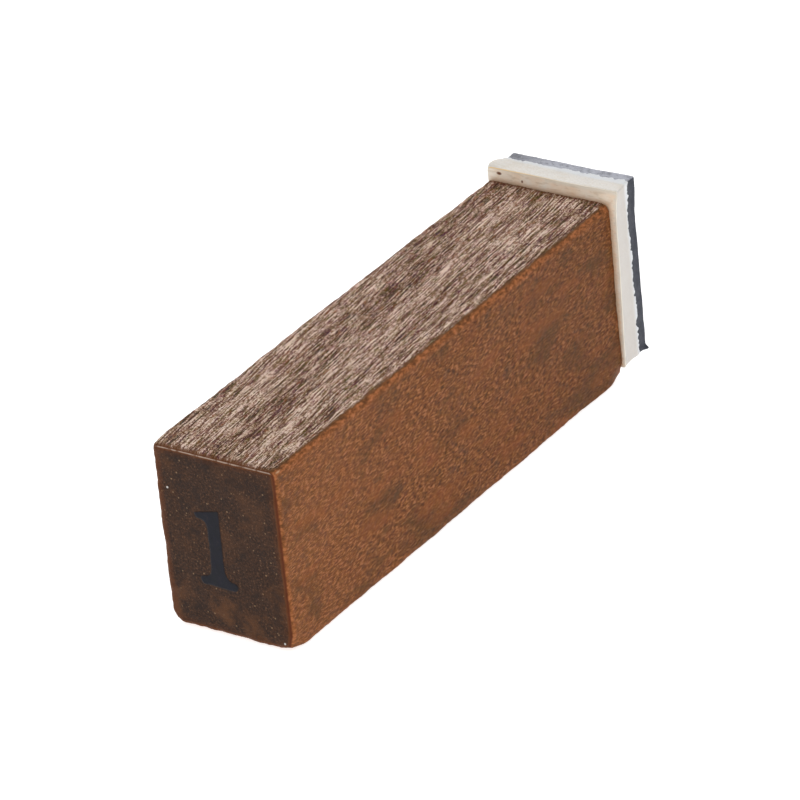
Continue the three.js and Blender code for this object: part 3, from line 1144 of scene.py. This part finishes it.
def build_die():
    """The rubber: a cut floor with a point of flash, and the raised numeral."""
    high = box_mm("rubber_die")[1]
    pad_low, pad_high = box_mm("die_adhesive_film")
    ring, normals, shares = cut_outline("die_adhesive_film")
    flash = near(ring[:, 1], pad_low[2] + FLASH_PLACE, FLASH_REACH)
    flash = flash * shares["right"] * (high[0] - pad_high[0])
    floor_end = high[1] - RELIEF_HEIGHT
    outlines = die_outlines(drawn_in(ring), normals, flash, pad_high[1], floor_end)
    skin = Skin()
    rings = add_cut_side(skin, outlines, normals)
    add_face(skin, rings[0], *outlines[0], -1, PAD_FACE_STEP)
    foot_ring, foot = add_relief(skin, floor_end)
    last = outlines[-1][1]
    points, triangles = filled([last, foot[::-1]], DIE_FACE_STEP)
    extra = points[len(last) + len(foot):]
    front = skin.add(in_space(extra, floor_end), out=(0, 1, 0), side=0.0)
    skin.patch(np.concatenate([rings[-1], foot_ring[::-1], front]), triangles, flip=True)
    piece = skin.finish("rubber_die_sheet", as_glued)
    raise_surface(piece, lumps(1.0, 0.55, -0.015, 0.015))
    keep_cut_edges(piece)
    hand_over(piece, rubber_material(), "die_rubber", "die", "rubber_die")


def rubber_material():
    """Slate-grey rubber, with pale dust and painted sheen on the sides that face up."""
    material, nodes, shader = new_material("die_rubber")
    place = nodes.vector("place")
    mottled = nodes.noise(place, 2.0, 3.0, 0.6)
    colour = nodes.colours(mottled, (0.3, 34, 38, 50), (0.55, 48, 51, 63), (0.75, 64, 66, 76))
    # Pale dust and painted sheen: the sides that face up turn light blue-grey, less so towards the left.
    upward = nodes.between(nodes.parts(nodes.vector("out"))[2], 0.4, 0.9)
    dusty = nodes.noise(place, 3.5, 3.0, 0.7)
    dust_and_sheen = nodes.times(upward, nodes.between(dusty, 0.3, 0.6, 0.35, 0.8))
    dust_and_sheen = nodes.times(dust_and_sheen, nodes.between(nodes.parts(place)[0], -4.6, -0.5, 0.35, 1.0))
    colour = nodes.mix(dust_and_sheen, colour, (184, 186, 198))
    dust = nodes.dots(place, 2.6, (0.05, 0.14), (0.75, 0.8), 0.6)
    colour = nodes.mix(dust, colour, (205, 205, 208))
    roughness = nodes.mix_numbers(nodes.number("side"), 0.6, 0.5)
    finish_shader(nodes, shader, colour, roughness, 0.3, nodes.noise(place, 9.0, 3.0, 0.6), 0.02, 0.7)
    return material


# ---- floor, light and camera


def build_floor(level):
    """A pale sheet under the stamp, at the height of its lowest point."""
    corners = [
        (across * FLOOR_HALF, along * FLOOR_HALF, level)
        for across, along in ((-1, -1), (1, -1), (1, 1), (-1, 1))
    ]
    mesh = bpy.data.meshes.new("floor")
    mesh.from_pydata(corners, [], [(0, 1, 2, 3)])
    floor = new_object("floor", mesh)
    material, nodes, shader = new_material("pale_floor")
    nodes.put(shader, "Base Color", (FLOOR_GREY, FLOOR_GREY, FLOOR_GREY, 1.0))
    nodes.put(shader, "Roughness", 0.9)
    nodes.put(shader, "Specular IOR Level", 0.0)
    nodes.put(shader, "Emission Color", WHITE)
    nodes.put(shader, "Emission Strength", FLOOR_GLOW)
    mesh.materials.append(material)
    floor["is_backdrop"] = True


def set_world(strength):
    """Even white light from all round."""
    world = bpy.data.worlds.new("studio")
    world.use_nodes = True
    background = world.node_tree.nodes["Background"]
    background.inputs[0].default_value = WHITE
    background.inputs[1].default_value = strength
    bpy.context.scene.world = world


def add_softbox(name, azimuth, elevation, distance, size, radiance):
    """A square soft light on the stamp. Azimuth 0 is +Y and 90 is +X. Radiance 1 is white."""
    turn, rise = math.radians(azimuth), math.radians(elevation)
    way = Vector((math.sin(turn) * math.cos(rise), math.cos(turn) * math.cos(rise), math.sin(rise)))
    light = bpy.data.lights.new(name, "AREA")
    light.shape = "SQUARE"
    light.size = size
    light.energy = radiance * math.pi * size * size
    lamp = new_object(name, light)
    lamp.location = Vector(LAMP_TARGET) + way * distance
    lamp.rotation_euler = (-way).to_track_quat("-Z", "Y").to_euler()


def add_camera():
    """The viewpoint: a long lens, from the front right and above, rolled a little."""
    azimuth, elevation, roll = map(math.radians, (CAMERA_AZIMUTH, CAMERA_ELEVATION, CAMERA_ROLL))
    level = math.cos(elevation)
    back = Vector((math.sin(azimuth) * level, -math.cos(azimuth) * level, math.sin(elevation)))
    level_right = Vector((math.cos(azimuth), math.sin(azimuth), 0))
    level_up = level_right.cross(-back)
    right = level_right * math.cos(roll) + level_up * math.sin(roll)
    up = level_up * math.cos(roll) - level_right * math.sin(roll)
    camera = new_object("camera", bpy.data.cameras.new("camera"))
    camera.data.lens = CAMERA_LENS
    camera.data.sensor_width = 36
    camera.data.clip_start = 0.01
    turn = Matrix((right, up, back)).transposed()
    camera.matrix_world = Matrix.Translation(CAMERA_PLACE) @ turn.to_4x4()
    bpy.context.scene.camera = camera


bpy.context.scene.view_settings.view_transform = "Standard"
set_world(WORLD_STRENGTH)
add_softbox("back_softbox", -37, 34, 0.7, 0.4, 3.0)
add_softbox("right_softbox", 70, 35, 0.7, 0.35, 0.5)
add_camera()

build_handle()
build_ink()
build_handle_film()
build_cushion()
build_die_film()
build_die()
build_floor(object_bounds()[0][2])
